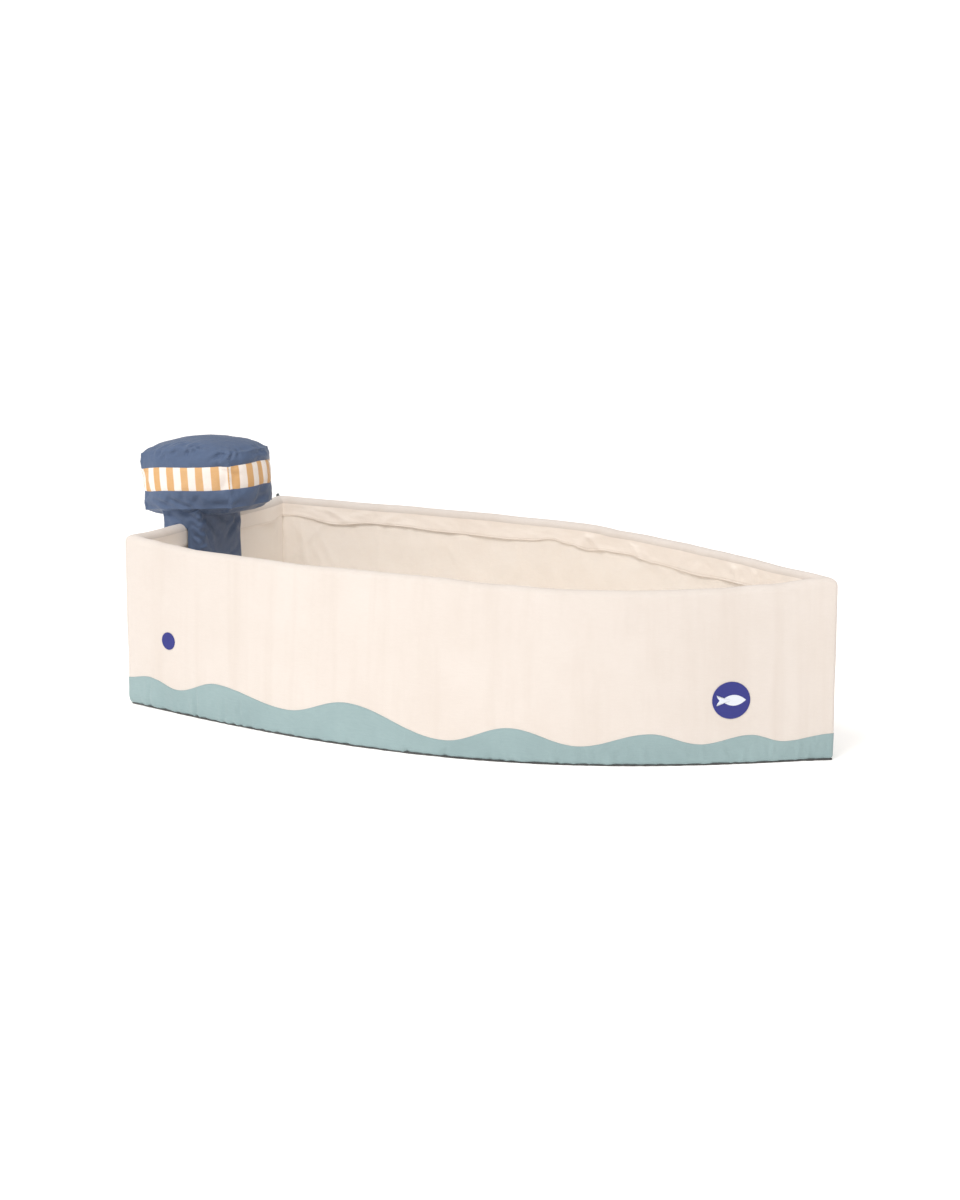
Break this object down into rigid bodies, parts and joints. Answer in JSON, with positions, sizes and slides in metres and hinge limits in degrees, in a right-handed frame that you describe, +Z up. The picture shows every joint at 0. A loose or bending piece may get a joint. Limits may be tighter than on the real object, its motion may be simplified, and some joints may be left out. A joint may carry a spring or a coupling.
{
  "type": "soft toy boat",
  "caption": "Open soft play boat with foam-stiffened cloth walls, a padded floor, a wave band along the base and a stuffed outboard motor that lifts off the stern.",
  "frame": {"origin": "on the floor, at the middle of the whole length and width", "axes": "+X towards the bow, +Y to port, +Z up"},
  "size_m": [1.2889, 0.614, 0.4449],
  "materials": {
    "foam": "soft closed-cell foam board",
    "cream_cloth": "plain-woven cotton",
    "teal_cloth": "printed plain-woven cotton",
    "lining_cloth": "plain-woven cotton",
    "facing_cloth": "plain-woven cotton",
    "closing_tape": "short looped pile",
    "navy_patch": "printed cloth",
    "pale_patch": "printed cloth",
    "base_cloth": "coarse plain weave",
    "ribbon": "woven ribbon",
    "blue_cloth": "fine plain weave, slight sheen",
    "striped_cloth": "plain weave in ochre and white stripes",
    "filling": "polyester fibre"
  },
  "bodies": {
    "hull": {"starboard_foam_aft": "foam", "starboard_foam_fore": "foam", "starboard_cover": "cream_cloth", "starboard_wave": "teal_cloth", "starboard_lining": "lining_cloth", "starboard_facing": "facing_cloth", "starboard_tape": "closing_tape", "starboard_dot": "navy_patch", "starboard_emblem": "navy_patch", "starboard_fish": "pale_patch", "port_foam_aft": "foam", "port_foam_fore": "foam", "port_cover": "cream_cloth", "port_wave": "teal_cloth", "port_lining": "lining_cloth", "port_facing": "facing_cloth", "port_tape": "closing_tape", "port_dot": "navy_patch", "port_emblem": "navy_patch", "port_fish": "pale_patch", "transom_foam": "foam", "transom_cover": "cream_cloth", "transom_wave": "teal_cloth", "transom_lining": "lining_cloth", "transom_facing": "facing_cloth", "transom_tape": "closing_tape", "floor_pad": "lining_cloth", "base_cloth": "base_cloth", "corner_tab": "ribbon"},
    "motor": {"motor_top": "blue_cloth", "motor_upper_band": "blue_cloth", "motor_stripe_band": "striped_cloth", "motor_lower_band": "blue_cloth", "motor_underside": "blue_cloth", "motor_filling": "filling", "bridge_cover": "blue_cloth", "bridge_filling": "filling", "bridge_lining": "blue_cloth", "inner_leg_cover": "blue_cloth", "inner_leg_filling": "filling", "outer_leg_cover": "blue_cloth", "outer_leg_filling": "filling"}
  },
  "joints": [
    {"name": "motor_lift", "type": "slide", "parent": "hull", "child": "motor", "axis": [0, 0, 1], "range_m": [0, 0.2]}
  ]
}
